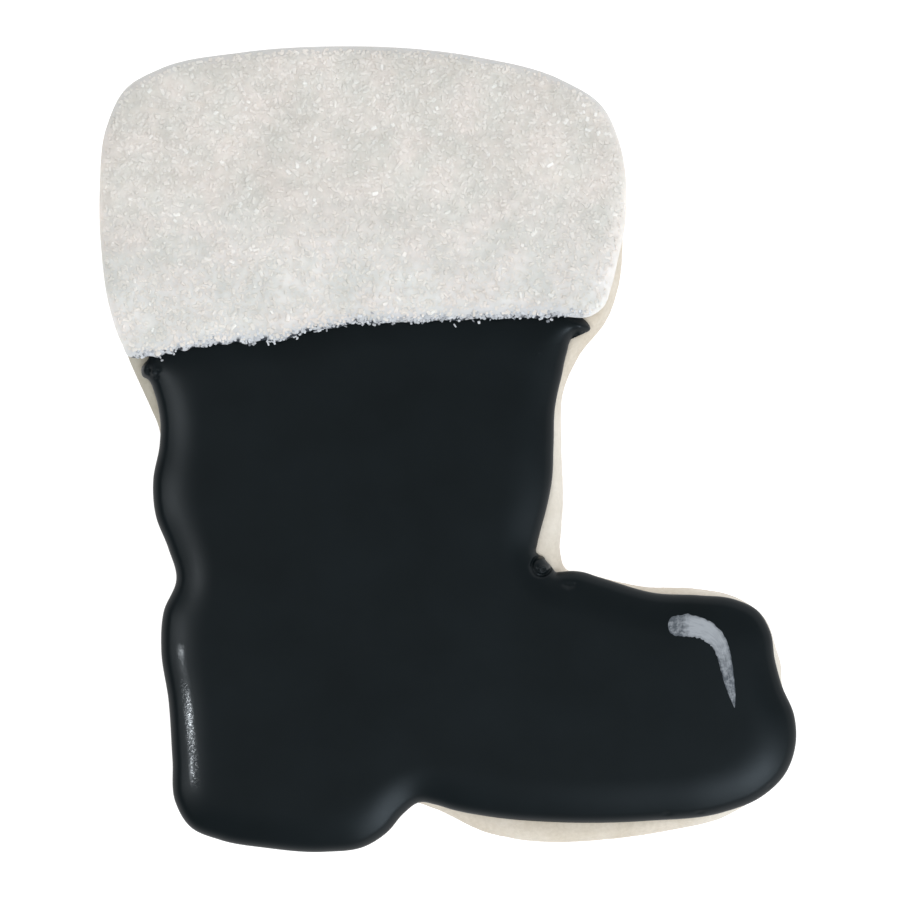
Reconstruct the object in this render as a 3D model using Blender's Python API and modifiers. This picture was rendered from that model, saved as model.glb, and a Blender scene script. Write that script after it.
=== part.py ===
"""Boot-shaped iced sugar cookie, lying face up.

A rolled and cut cookie base carries two floods of royal icing that meet along one seam: black for the leg
and foot, white for the cuff, which is strewn with coarse sugar. A pale brush stroke lies on the toe.
+X runs towards the toe, +Y towards the cuff, +Z up; the origin is under the middle of the whole.
"""

import math
import random

import bmesh
import bpy
from mathutils import Euler, Matrix, Vector
from mathutils.geometry import delaunay_2d_cdt, interpolate_bezier

MM = 0.001
GAP = 0.3 * MM

BASE_THICKNESS = 6.8 * MM
BASE_EDGE_RADIUS = 1.3 * MM
BASE_EDGE_STEPS = 3
BASE_EDGE_ANGLE = math.radians(50)
FLAT_ANGLE = math.radians(0.5)
WELD = 0.01 * MM

ICING_FLOOR = BASE_THICKNESS + GAP
BLACK_WALL, BLACK_THICKNESS, BLACK_SHOULDER = 0.8 * MM, 2.3 * MM, 4.2 * MM
CUFF_WALL, CUFF_THICKNESS, CUFF_SHOULDER = 0.9 * MM, 2.6 * MM, 4.0 * MM
# The rings of points on an icing's shoulder, as shares of its width, how far two points of a ring of
# some depth keep apart, and how much of that depth a point in a tight corner has to keep.
SHOULDER_RINGS = (0.06, 0.22, 0.48, 0.95)
RING_SPACING = 0.25 * MM
RING_SPREAD = 0.35
RING_DEPTH_KEPT = 0.8
FLAT_SPACING = 5.0 * MM
FILL_TOLERANCE = 0.0001 * MM
ICING_SPACING = 2.0 * MM
BASE_SPACING = 2.6 * MM

GRAIN_SEED = 12
GRAIN_SPACING = 3.0 * MM
GRAIN_JITTER = 0.22 * GRAIN_SPACING
GRAIN_MARGIN = 1.4 * MM
GRAIN_WIDTHS = (0.55 * MM, 0.8 * MM)
GRAIN_LENGTHS = (0.9 * MM, 1.5 * MM)
GRAIN_TILT = math.radians(22)

STROKE_THICKNESS = 0.4 * MM
STROKE_SPACING = 0.7 * MM

# Outlines in millimetres. The seam runs from the cuff's lower left corner to its lower right one.
SEAM = [
    (-36.1, 11.7), (-33.6, 12.3), (-30.6, 12.8), (-27.8, 13.2), (-25.3, 13.1), (-23.3, 13.6), (-21.1, 13.4),
    (-19.1, 14.2), (-17.1, 14.9), (-13.6, 15.4), (-11.7, 16.0), (-6.1, 15.9), (-1.1, 16.2), (6.4, 16.5),
    (13.9, 16.6),
]
CUFF_RIM = [
    (17.9, 16.7), (19.3, 17.7), (20.4, 20.4), (21.2, 23.7), (22.1, 28.1), (22.2, 33.7), (21.2, 38.9),
    (19.2, 42.9), (14.3, 46.1), (3.9, 49.2), (-13.6, 50.4), (-26.1, 49.8), (-36.1, 47.9), (-40.3, 45.1),
    (-42.7, 40.4), (-43.6, 32.4), (-43.4, 24.9), (-42.4, 17.9), (-40.8, 13.2), (-39.8, 11.5), (-38.3, 11.5),
]
BOOT_RIM = [
    (16.9, 16.3), (17.8, 15.2), (16.8, 14.4), (15.4, 13.9), (14.7, 11.7), (14.4, 8.9), (13.5, 6.2),
    (13.2, 0.6), (12.9, -3.8), (12.1, -7.8), (11.1, -11.9), (11.6, -13.4), (13.1, -14.9), (14.7, -15.2),
    (17.1, -15.3), (20.2, -16.4), (25.8, -17.9), (31.4, -18.2), (35.8, -18.7), (38.8, -20.2), (40.3, -22.7),
    (40.8, -26.3), (41.8, -29.6), (43.3, -33.2), (43.5, -36.9), (41.9, -40.4), (38.9, -43.3), (34.2, -45.3),
    (25.2, -46.4), (13.9, -46.6), (5.2, -45.9), (-3.6, -44.2), (-5.8, -45.3), (-7.9, -47.7), (-10.6, -49.6),
    (-15.4, -50.4), (-22.9, -49.7), (-28.6, -48.6), (-32.3, -47.1), (-34.2, -44.2), (-34.6, -38.8),
    (-35.1, -31.3), (-36.0, -25.1), (-35.7, -20.3), (-34.1, -16.1), (-35.1, -12.4), (-36.7, -8.2),
    (-37.0, -3.8), (-36.2, 0.6), (-36.1, 3.1), (-36.8, 6.6), (-37.4, 8.6), (-38.2, 9.1), (-38.5, 9.9),
    (-38.1, 10.9), (-37.2, 11.5),
]
BASE_RIM = [
    (-35.7, 47.5), (-26.1, 49.3), (-13.6, 50.0), (0.2, 49.3), (12.1, 46.5), (18.2, 43.1), (20.9, 38.7),
    (21.8, 32.4), (21.9, 26.2), (21.1, 20.4), (19.7, 16.6), (15.8, 11.7), (14.2, 7.7), (13.9, 0.6),
    (14.2, -6.3), (13.8, -12.6), (14.7, -14.6), (17.2, -15.2), (24.6, -16.9), (31.4, -17.3), (36.4, -18.6),
    (39.9, -21.3), (41.1, -25.1), (41.8, -29.3), (43.0, -33.6), (42.8, -37.8), (40.6, -41.7), (35.1, -45.7),
    (27.7, -47.6), (18.9, -48.8), (11.4, -48.9), (4.6, -47.7), (-2.2, -44.6), (-4.6, -44.3), (-6.6, -46.1),
    (-9.6, -48.9), (-14.2, -50.1), (-23.6, -49.6), (-30.4, -48.0), (-33.3, -45.8), (-34.2, -40.1),
    (-34.8, -31.9), (-35.8, -25.7), (-35.4, -21.3), (-34.2, -16.1), (-34.8, -12.3), (-36.6, -5.7),
    (-36.1, -0.1), (-36.6, 3.2), (-40.3, 11.7), (-42.8, 21.2), (-43.4, 32.4), (-42.4, 39.9), (-39.8, 45.2),
]

# The brush stroke's middle line on the toe, with half its width at each point, in millimetres.
STROKE_PATH = [
    (27.6, -22.1, 1.3), (29.5, -22.0, 1.3), (31.2, -22.2, 1.25), (32.7, -22.9, 1.1), (33.7, -24.1, 0.95),
    (34.2, -25.6, 0.85), (34.6, -27.2, 0.8), (35.0, -29.0, 0.7), (35.5, -30.9, 0.4), (35.7, -32.1, 0.1),
]


def clear_scene():
    for obj in list(bpy.data.objects):
        bpy.data.objects.remove(obj, do_unlink=True)


def new_collection(name):
    collection = bpy.data.collections.new(name)
    bpy.context.scene.collection.children.link(collection)
    return collection


def finish_material(name, colour, roughness):
    """A Principled material of one colour: none of these is metallic."""
    material = bpy.data.materials.new(name)
    material.use_nodes = True
    shader = material.node_tree.nodes["Principled BSDF"]
    shader.inputs["Base Color"].default_value = (*colour, 1.0)
    shader.inputs["Roughness"].default_value = roughness
    shader.inputs["Metallic"].default_value = 0.0
    return material


def smooth_loop(points_mm, spacing):
    """A closed loop through the points: each stretch is a Bezier along the arc through its neighbours."""
    points = [Vector(point) * MM for point in points_mm]
    spans = [points[(i + 1) % len(points)] - point for i, point in enumerate(points)]
    tangents = []
    for i, ahead in enumerate(spans):
        behind = spans[i - 1]
        bend = behind.normalized() * ahead.length + ahead.normalized() * behind.length
        tangents.append(bend.normalized())
    loop = []
    for i, span in enumerate(spans):
        j = (i + 1) % len(points)
        reach = span.length / 3
        pieces = max(1, round(span.length / spacing))
        stretch = interpolate_bezier(
            points[i], points[i] + tangents[i] * reach, points[j] - tangents[j] * reach, points[j], pieces + 1
        )
        loop.extend(stretch[:-1])
    return loop


def shifted(points_mm, distance):
    """The seam moved along Y, so that the icings on its two sides keep the gap between them."""
    return [(x, y + distance / MM) for x, y in points_mm]


def rim_distance(point, loop):
    """How far a point lies from a closed loop."""
    nearest = math.inf
    for i, start in enumerate(loop):
        along = loop[(i + 1) % len(loop)] - start
        share = max(0.0, min(1.0, (point - start).dot(along) / along.length_squared))
        nearest = min(nearest, (start + along * share - point).length)
    return nearest


def is_inside(point, loop):
    """Whether a ray towards +X from the point crosses the loop an odd number of times."""
    crossings = 0
    for i, start in enumerate(loop):
        end = loop[(i + 1) % len(loop)]
        if (start.y > point.y) != (end.y > point.y):
            cut = start.x + (point.y - start.y) / (end.y - start.y) * (end.x - start.x)
            crossings += cut > point.x
    return crossings % 2 == 1


def hex_points(loop, spacing):
    """A hexagonal grid of points over the loop's box."""
    rows = spacing * math.sqrt(3) / 2
    low = Vector((min(p.x for p in loop), min(p.y for p in loop)))
    high = Vector((max(p.x for p in loop), max(p.y for p in loop)))
    for row in range(int((high.y - low.y) / rows) + 1):
        for column in range(int((high.x - low.x) / spacing) + 1):
            yield Vector((low.x + (column + row % 2 / 2) * spacing, low.y + row * rows))


def dome_height(distance, wall, thickness, shoulder):
    """Icing height at a distance inside its rim: a wall, then a quarter ellipse up to the full thickness."""
    share = min(1.0, distance / shoulder)
    return wall + (thickness - wall) * math.sqrt(1 - (1 - share) ** 2)


def mesh_object(name, mesh, material, collection):
    mesh.materials.append(material)
    obj = bpy.data.objects.new(name, mesh)
    collection.objects.link(obj)
    return obj


def flat_slab(name, loop, low, thickness, material, collection):
    """A filled 2D curve, extruded between two heights and welded into one closed mesh."""
    curve = bpy.data.curves.new(name, "CURVE")
    curve.dimensions = "2D"
    curve.fill_mode = "BOTH"
    curve.extrude = thickness / 2
    spline = curve.splines.new("POLY")
    spline.points.add(len(loop) - 1)
    for knot, point in zip(spline.points, loop):
        knot.co = (point.x, point.y, 0, 1)
    spline.use_cyclic_u = True
    guide = bpy.data.objects.new(name, curve)
    guide.location.z = low + thickness / 2
    collection.objects.link(guide)
    depsgraph = bpy.context.evaluated_depsgraph_get()
    evaluated = guide.evaluated_get(depsgraph)
    mesh = bpy.data.meshes.new_from_object(evaluated)
    mesh.transform(evaluated.matrix_world)
    bpy.data.objects.remove(guide, do_unlink=True)
    slab = bmesh.new()
    slab.from_mesh(mesh)
    bmesh.ops.remove_doubles(slab, verts=slab.verts, dist=WELD)
    bmesh.ops.dissolve_limit(slab, angle_limit=FLAT_ANGLE, verts=slab.verts, edges=slab.edges)
    bmesh.ops.recalc_face_normals(slab, faces=slab.faces)
    slab.to_mesh(mesh)
    slab.free()
    return mesh_object(name, mesh, material, collection)


def cookie_base(material, collection):
    """The baked dough: a thick slab whose upper and lower edges are rounded."""
    loop = smooth_loop(BASE_RIM, BASE_SPACING)
    base = flat_slab("cookie_base", loop, 0.0, BASE_THICKNESS, material, collection)
    rounding = base.modifiers.new("baked edge", "BEVEL")
    rounding.width = BASE_EDGE_RADIUS
    rounding.segments = BASE_EDGE_STEPS
    rounding.limit_method = "ANGLE"
    rounding.angle_limit = BASE_EDGE_ANGLE
    return base


def icing_flood(name, loop, wall, thickness, shoulder, material, collection):
    """A pool of icing: flat below, a short wall at the rim, and a top that rounds over and levels off.

    The top is a Delaunay fill of the rim, of rings inside it where the shoulder curves, and of a wide
    grid on the level middle. Each point is raised by dome_height of its own distance to the rim.
    """
    inner = []
    for ring in SHOULDER_RINGS:
        depth = ring * shoulder
        for i, point in enumerate(loop):
            along = loop[(i + 1) % len(loop)] - loop[i - 1]
            candidate = point + Vector((-along.y, along.x)).normalized() * depth
            apart = depth * RING_SPREAD + RING_SPACING
            if any((candidate - other).length < apart for other in inner):
                continue
            if is_inside(candidate, loop) and rim_distance(candidate, loop) > depth * RING_DEPTH_KEPT:
                inner.append(candidate)
    for candidate in hex_points(loop, FLAT_SPACING):
        if is_inside(candidate, loop) and rim_distance(candidate, loop) > shoulder + FLAT_SPACING / 2:
            inner.append(candidate)
    rim_edges = [(i, (i + 1) % len(loop)) for i in range(len(loop))]
    points, _, faces, *_ = delaunay_2d_cdt(loop + inner, rim_edges, [], 1, FILL_TOLERANCE)
    flood = bmesh.new()
    top = []
    for point in points:
        distance = rim_distance(point, loop)
        height = dome_height(distance, wall, thickness, shoulder)
        top.append(flood.verts.new((point.x, point.y, ICING_FLOOR + height)))
    for face in faces:
        flood.faces.new([top[i] for i in face])
    underside = [flood.verts.new((point.x, point.y, ICING_FLOOR)) for point in loop]
    flood.faces.new(underside[::-1])
    for i, j in rim_edges:
        flood.faces.new((underside[i], underside[j], top[j], top[i]))
    bmesh.ops.recalc_face_normals(flood, faces=flood.faces)
    mesh = bpy.data.meshes.new(name)
    flood.to_mesh(mesh)
    flood.free()
    return mesh_object(name, mesh, material, collection)


def sugar_grains(loop, collection):
    """Coarse sugar: short square rods sunk by half into the cuff, at jittered places an even way apart."""
    draw = random.Random(GRAIN_SEED)
    for place in hex_points(loop, GRAIN_SPACING):
        spot = place + Vector([draw.uniform(-GRAIN_JITTER, GRAIN_JITTER) for _ in range(2)])
        width = draw.uniform(*GRAIN_WIDTHS)
        length = draw.uniform(*GRAIN_LENGTHS)
        lean = [draw.uniform(-GRAIN_TILT, GRAIN_TILT) for _ in range(2)]
        turn = Euler((*lean, draw.uniform(0, math.pi)))
        distance = rim_distance(spot, loop)
        if distance < GRAIN_MARGIN or not is_inside(spot, loop):
            continue
        height = ICING_FLOOR + dome_height(distance, CUFF_WALL, CUFF_THICKNESS, CUFF_SHOULDER)
        rod = bmesh.new()
        bmesh.ops.create_cube(rod, size=1.0)
        rod.transform(Matrix.LocRotScale((spot.x, spot.y, height), turn, (length, width, width)))
        mesh = bpy.data.meshes.new("grain")
        rod.to_mesh(mesh)
        rod.free()
        collection.objects.link(bpy.data.objects.new("grain", mesh))


def fuse(obj, collection):
    """Joins a collection's pieces to the object, then removes them."""
    union = obj.modifiers.new("fused", "BOOLEAN")
    union.operation = "UNION"
    union.operand_type = "COLLECTION"
    union.collection = collection
    union.solver = "EXACT"
    depsgraph = bpy.context.evaluated_depsgraph_get()
    plain = obj.data
    obj.data = bpy.data.meshes.new_from_object(obj.evaluated_get(depsgraph))
    obj.modifiers.clear()
    bpy.data.meshes.remove(plain)
    for piece in list(collection.objects):
        bpy.data.objects.remove(piece, do_unlink=True)
    bpy.data.collections.remove(collection)


def brush_stroke(material, collection):
    """The pale highlight: a thin film whose edges run either side of its middle line."""
    left, right = [], []
    for i, (x, y, half_width) in enumerate(STROKE_PATH):
        before = STROKE_PATH[max(i - 1, 0)]
        after = STROKE_PATH[min(i + 1, len(STROKE_PATH) - 1)]
        side = Vector((before[1] - after[1], after[0] - before[0])).normalized() * half_width
        left.append((x + side.x, y + side.y))
        right.append((x - side.x, y - side.y))
    loop = smooth_loop(right + left[::-1], STROKE_SPACING)
    low = ICING_FLOOR + BLACK_THICKNESS + GAP
    return flat_slab("toe_highlight", loop, low, STROKE_THICKNESS, material, collection)


def build():
    clear_scene()
    cookie = new_collection("boot_cookie")
    grains = new_collection("sugar_grains")
    baked_dough = finish_material("baked_dough", (0.66, 0.58, 0.46), 0.8)
    black_royal = finish_material("black_royal_icing", (0.012, 0.015, 0.017), 0.42)
    sugared_white = finish_material("sugared_white_icing", (0.72, 0.71, 0.67), 0.6)
    pale_paint = finish_material("pale_paint", (0.36, 0.39, 0.42), 0.6)

    cookie_base(baked_dough, cookie)
    boot_loop = smooth_loop(shifted(SEAM, -GAP / 2) + BOOT_RIM, ICING_SPACING)[::-1]
    icing_flood(
        "black_icing", boot_loop, BLACK_WALL, BLACK_THICKNESS, BLACK_SHOULDER, black_royal, cookie
    )
    cuff_loop = smooth_loop(shifted(SEAM, GAP / 2) + CUFF_RIM, ICING_SPACING)
    cuff = icing_flood(
        "cuff_icing", cuff_loop, CUFF_WALL, CUFF_THICKNESS, CUFF_SHOULDER, sugared_white, cookie
    )
    sugar_grains(cuff_loop, grains)
    fuse(cuff, grains)
    brush_stroke(pale_paint, cookie)


build()
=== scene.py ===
"""The looks of a boot-shaped iced sugar cookie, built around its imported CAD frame.

A baked base, black and white royal icing, coarse sugar on the white cuff and a pale brush stroke on the toe.
Outlines are in millimetres in the frame's own axes: +X towards the toe, +Y towards the cuff, +Z up.
"""

import bmesh
import bpy
import numpy as np
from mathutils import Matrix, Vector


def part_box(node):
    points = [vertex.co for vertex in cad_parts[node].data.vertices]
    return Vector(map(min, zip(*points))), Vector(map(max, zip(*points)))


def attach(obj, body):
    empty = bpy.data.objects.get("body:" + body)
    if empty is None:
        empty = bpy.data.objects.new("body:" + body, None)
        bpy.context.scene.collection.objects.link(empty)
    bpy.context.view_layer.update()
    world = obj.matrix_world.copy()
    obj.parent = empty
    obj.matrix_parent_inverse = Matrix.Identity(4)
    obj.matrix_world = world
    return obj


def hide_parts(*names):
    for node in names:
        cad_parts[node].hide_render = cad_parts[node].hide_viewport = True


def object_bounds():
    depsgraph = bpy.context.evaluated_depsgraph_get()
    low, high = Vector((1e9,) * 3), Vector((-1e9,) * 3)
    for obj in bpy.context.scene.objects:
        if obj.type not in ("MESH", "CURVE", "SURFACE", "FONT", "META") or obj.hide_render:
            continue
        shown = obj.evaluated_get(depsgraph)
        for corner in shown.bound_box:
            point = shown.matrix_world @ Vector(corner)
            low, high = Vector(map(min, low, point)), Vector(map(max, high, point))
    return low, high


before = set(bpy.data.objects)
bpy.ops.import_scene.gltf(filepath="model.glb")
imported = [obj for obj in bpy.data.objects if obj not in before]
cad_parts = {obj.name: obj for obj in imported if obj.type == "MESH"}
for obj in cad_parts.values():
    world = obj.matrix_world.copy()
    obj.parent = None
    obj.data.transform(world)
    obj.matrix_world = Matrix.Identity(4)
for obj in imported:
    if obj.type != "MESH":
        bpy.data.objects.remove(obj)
cad_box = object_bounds()

# Baked base: rolled sugar-cookie dough, cut out as a boot with a knife and baked pale.
# One slab with a dry, crumbly side and a rounded top edge. It shows in strips beside and under the icing.
MM = 0.001
BASE_RIM = [
    (-35.7, 47.2), (-26.1, 49.1), (-13.6, 50.0), (0.2, 49.3), (12.1, 46.5), (18.2, 43.1), (20.9, 38.7),
    (21.8, 32.4), (22.0, 26.2), (21.4, 20.4), (20.1, 16.6), (16.4, 11.7), (14.6, 7.7), (14.25, 0.6),
    (14.45, -6.3), (14.3, -9.5), (14.1, -12.8), (14.7, -14.9), (17.2, -15.6), (24.6, -17.3), (31.4, -17.6),
    (36.4, -18.7), (39.9, -21.3), (41.3, -25.1), (41.9, -27.2), (42.0, -29.3), (43.0, -33.6), (42.8, -37.8),
    (40.7, -41.9), (35.1, -46.1), (27.7, -48.0), (18.9, -49.2), (11.4, -49.4), (4.6, -48.2), (-2.2, -45.1),
    (-4.6, -44.5), (-6.6, -46.1), (-9.6, -48.9), (-14.2, -50.1), (-23.6, -49.6), (-30.4, -48.0),
    (-33.3, -45.8), (-34.2, -40.1), (-34.8, -31.9), (-35.8, -25.7), (-35.4, -21.3), (-34.2, -16.1),
    (-34.8, -12.3), (-36.6, -5.7), (-36.1, -0.1), (-36.6, 3.1), (-37.4, 5.0), (-39.1, 8.7), (-40.4, 11.7),
    (-42.8, 21.2), (-43.4, 32.4), (-42.4, 39.9), (-39.8, 45.2),
]
# The ribs across the base from the cuff's top to the toe: the end on the front side, then on the heel side.
BASE_RIBS = [
    [(-13.6, 50.0), (-13.6, 50.0)], [(21.8, 32.4), (-43.4, 32.4)], [(21.1, 20.4), (-42.8, 21.2)],
    [(15.8, 11.7), (-40.3, 11.7)], [(13.9, 0.6), (-36.1, -0.1)], [(14.2, -6.3), (-34.8, -12.3)],
    [(13.8, -12.6), (-35.8, -25.7)], [(14.7, -14.6), (-33.3, -45.8)], [(17.2, -15.2), (-9.6, -48.9)],
    [(24.6, -16.9), (-2.2, -44.6)], [(31.4, -17.3), (18.9, -48.8)], [(36.4, -18.6), (27.7, -47.6)],
    [(43.0, -34.3), (43.0, -34.3)],
]
# The columns of points along each side, and the two ribs beyond which they run like fans.
BASE_COLUMNS, BASE_TIPS = 520, (1, 11)
# The rows of points across the flat top, and how strongly they crowd towards its edge.
BASE_FLAT_ROWS, BASE_CROWDING = 16, 1.5
# How far in to the middle the flat rings of an underside lie, as shares.
UNDER_RINGS = [1.0, 0.6, 0.25]
# An outline's direction at a point is taken over this far on either side of it.
TANGENT_STEP = 0.12
# Closer points are merged, and shorter edges dissolved.
MERGE_DISTANCE, SHORTEST_EDGE = 0.0008, 0.0005
BASE_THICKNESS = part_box("cookie_base")[1].z / MM
# The side in a cut, from the underside up: how far in from the outline, and the share of the thickness.
BASE_SIDE = [
    (1.6, 0.0), (0.8, 0.0), (0.35, 0.02), (0.12, 0.06), (0.03, 0.13), (0.0, 0.22), (0.0, 0.32), (0.0, 0.42),
    (0.02, 0.52), (0.06, 0.62), (0.14, 0.71), (0.27, 0.79), (0.46, 0.86), (0.72, 0.92), (1.05, 0.965),
    (1.5, 0.99), (2.1, 1.0), (2.8, 1.005),
]
# The crumbly side: how wide and deep its lumps are, and how strong they are at shares of the height.
CRUMB_SIZES, CRUMB_SEED = [(3.2, 0.07), (1.1, 0.05), (0.5, 0.035)], 5
CRUMB_AT, CRUMB_SHARE = (0.0, 0.08, 0.9, 1.0), (0.0, 1.0, 0.8, 0.25)
# Primes that spread the cells of a grid over a table of random heights, and the table's length.
LUMP_PRIMES, LUMP_TABLE = (7919, 104729, 1299709), 4099
# The dough from its darker to its paler patches, its dark specks, and the browner crust low on the side.
DOUGH_SHADES, DOUGH_SPECK = ((0.61, 0.53, 0.425), (0.71, 0.635, 0.54)), (0.62, 0.58, 0.5)
CRUST_BROWN, CRUST_REACH = (0.44, 0.30, 0.165), (0.02, 0.42)
# The dough is painted darker, as shade, towards the heel side of the leg, from X to X, and painted lighter,
# as light, towards the end of the toe.
SHADED_SIDE, PAINTED_SIDE_SHADE = (-37.0, -26.0), (0.70, 0.73, 0.72)
LIT_TOE, PAINTED_LIGHT_DOUGH = (27.0, 38.0), (0.86, 0.83, 0.77)
# Painted light: the dough is also painted lighter above the instep: from X to X and from Y to Y, fading out
# again from Y to Y.
LIT_INSTEP_X, LIT_INSTEP_Y, LIT_INSTEP_END = (8.0, 14.0), (-17.0, -10.0), (0.0, 12.0)


def smooth_outline(corners, steps=30):
    """A closed curve through the corners.

    Each stretch is a cubic from one corner to the next. The direction at a corner is the mean of the two
    unit directions that meet there, each weighted by the length of the other stretch, and the handles of a
    stretch are a third as long as it is.
    """
    start = np.array(corners, float)
    span = np.roll(start, -1, axis=0) - start
    length = np.linalg.norm(span, axis=1, keepdims=True)
    ahead = span / length
    tangent = np.roll(ahead, 1, axis=0) * length + ahead * np.roll(length, 1, axis=0)
    tangent /= np.linalg.norm(tangent, axis=1, keepdims=True)
    end = np.roll(start, -1, axis=0)
    leave = start + tangent * length / 3
    arrive = end - np.roll(tangent, -1, axis=0) * length / 3
    t = np.linspace(0, 1, steps, endpoint=False)[None, :, None]
    curve = (1 - t) ** 3 * start[:, None] + 3 * (1 - t) ** 2 * t * leave[:, None]
    curve += 3 * (1 - t) * t**2 * arrive[:, None] + t**3 * end[:, None]
    return curve.reshape(-1, 2)


def ribbed_ring(curve, ribs, columns, tips):
    """Points round an outline, the unit direction into it at each, and the middle of the rib each lies on.

    The two ends of a rib are found by their arc length along the outline, one going forwards from the first
    rib and one backwards, and both are stepped evenly between one rib and the next. Beyond the two ribs
    numbered in tips, the columns of points run like a fan to the middle of that rib.
    """
    closed = np.vstack([curve, curve[:1]])
    arc = np.concatenate([[0.0], np.cumsum(np.linalg.norm(np.diff(closed, axis=0), axis=1))])
    turn = np.sign(np.sum(curve[:, 0] * np.roll(curve[:, 1], -1) - curve[:, 1] * np.roll(curve[:, 0], -1)))

    def along(place):
        place = place % arc[-1]
        return np.stack([np.interp(place, arc, closed[:, 0]), np.interp(place, arc, closed[:, 1])], axis=1)

    nearest = np.linalg.norm(np.array(ribs)[:, :, None] - curve, axis=3).argmin(axis=2)
    origin = arc[nearest[0, 0]]
    forwards = (arc[nearest[:, 0]] - origin) % arc[-1]
    backwards = (origin - arc[nearest[:, 1]]) % arc[-1]
    stage = np.concatenate([[0.0], np.cumsum(np.maximum(np.diff(forwards), np.diff(backwards)))])
    step = np.linspace(0, stage[-1], columns)
    front = origin + np.interp(step, stage, forwards)
    back = origin - np.interp(step, stage, backwards)
    middle = (along(front) + along(back)) / 2
    first, last = np.searchsorted(step, [stage[tips[0]], stage[tips[1]]])
    middle[:first] = middle[first]
    middle[last + 1 :] = middle[last]
    place = np.concatenate([front, back[-2:0:-1]])
    tangent = along(place + TANGENT_STEP) - along(place - TANGENT_STEP)
    inward = turn * np.stack([-tangent[:, 1], tangent[:, 0]], axis=1)
    inward /= np.linalg.norm(inward, axis=1, keepdims=True)
    return along(place), inward, np.concatenate([middle, middle[-2:0:-1]])


def scene_object(name, data):
    """An object of the scene for this mesh, lamp or camera."""
    made = bpy.data.objects.new(name, data)
    bpy.context.scene.collection.objects.link(made)
    return made


def closed_shell(name, rows):
    """One closed mesh from rings of points: each ring is joined to the next, and the first and last rings,
    which are folded flat along the middle, close by merging the points that meet there."""
    count, columns = rows.shape[:2]
    here = np.arange(count - 1)[:, None] * columns + np.arange(columns)
    beside = np.arange(count - 1)[:, None] * columns + np.roll(np.arange(columns), -1)
    quads = np.stack([here, beside, beside + columns, here + columns], axis=2).reshape(-1, 4)
    mesh = bpy.data.meshes.new(name)
    mesh.from_pydata((rows.reshape(-1, 3) * MM).tolist(), [], quads.tolist())
    work = bmesh.new()
    work.from_mesh(mesh)
    bmesh.ops.remove_doubles(work, verts=work.verts, dist=MERGE_DISTANCE * MM)
    bmesh.ops.dissolve_degenerate(work, edges=work.edges, dist=SHORTEST_EDGE * MM)
    bmesh.ops.recalc_face_normals(work, faces=work.faces)
    work.to_mesh(mesh)
    work.free()
    mesh.shade_smooth()
    return scene_object(name, mesh)


def lumps(points, size, seed):
    """Smooth random heights from -1 to 1: a random value at each corner of a grid of cubes of this size,
    carried between the corners by the curve 3t^2 - 2t^3."""
    table = np.random.default_rng(seed).uniform(-1, 1, LUMP_TABLE)
    cell = np.floor(points / size).astype(np.int64)
    share = points / size - cell
    share = share * share * (3 - 2 * share)
    height = np.zeros(points.shape[:-1])
    for corner in np.ndindex(2, 2, 2):
        weight = np.prod(np.where(corner, share, 1 - share), axis=-1)
        key = ((cell + corner) * LUMP_PRIMES).sum(axis=-1)
        height += weight * table[key % LUMP_TABLE]
    return height


class Socket:
    """An output socket of a material's node tree. Sums, differences and products of it add Math nodes."""

    def __init__(self, tree, socket=None):
        self.tree = tree
        self.socket = socket

    def node(self, kind, settings=None, output=0, **inputs):
        """Adds a node of any kind: first its settings, then the value or link of each named socket."""
        new = self.tree.nodes.new(kind)
        for name, value in (settings or {}).items():
            setattr(new, name, value)
        for name, value in inputs.items():
            place = int(name[1:]) if name[1:].isdigit() else name.replace("_", " ")
            self.feed(new.inputs[place], value)
        return Socket(self.tree, new.outputs[output])

    def feed(self, socket, value):
        """Links a Socket to an input, or sets the input's own value."""
        if isinstance(value, Socket):
            self.tree.links.new(value.socket, socket)
        elif isinstance(value, tuple) and len(socket.default_value) == 4:
            socket.default_value = (*value, 1)
        else:
            socket.default_value = value

    def maths(self, operation, first, second):
        return self.node("ShaderNodeMath", {"operation": operation}, i0=first, i1=second)

    def __add__(self, other):
        return self.maths("ADD", self, other)

    def __radd__(self, other):
        return self.maths("ADD", other, self)

    def __sub__(self, other):
        return self.maths("SUBTRACT", self, other)

    def __rsub__(self, other):
        return self.maths("SUBTRACT", other, self)

    def __mul__(self, other):
        return self.maths("MULTIPLY", self, other)

    def __rmul__(self, other):
        return self.maths("MULTIPLY", other, self)

    def ramp(self, low, high):
        """0 below low, 1 above high, and an even slope between them."""
        return self.node("ShaderNodeMapRange", Value=self, From_Min=low, From_Max=high)

    def mix(self, dark, light):
        """A colour from dark, where this value is 0, to light, where it is 1."""
        return self.node("ShaderNodeMix", {"data_type": "RGBA"}, output=2, i0=self, i6=dark, i7=light)

    def shaded(self, shade, share=1.0):
        """This colour multiplied by a shade, wholly or by a share."""
        settings = {"data_type": "RGBA", "blend_type": "MULTIPLY"}
        return self.node("ShaderNodeMix", settings, output=2, i0=share, i6=self, i7=shade)

    def part(self, axis):
        """One part of this vector: 0 for X, 1 for Y, 2 for Z."""
        return self.node("ShaderNodeSeparateXYZ", output=axis, Vector=self)


def new_finish(name, roughness):
    """A material, its Principled shader and a Socket of its object coordinates, in metres."""
    material = bpy.data.materials.new(name)
    material.use_nodes = True
    tree = material.node_tree
    shader = tree.nodes["Principled BSDF"]
    shader.inputs["Roughness"].default_value = roughness
    return material, shader, Socket(tree).node("ShaderNodeTexCoord", output=3)


def noise(place, size, detail=2.0, roughness=0.5):
    """Noise from 0 to 1 whose blotches are about this many millimetres wide."""
    return place.node(
        "ShaderNodeTexNoise", Vector=place, Scale=1 / (size * MM), Detail=detail, Roughness=roughness
    )


def relief(height, depth):
    """A normal from a height of 0 to 1 that stands for this many millimetres."""
    return height.node("ShaderNodeBump", Strength=1.0, Distance=depth * MM, Height=height)


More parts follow.
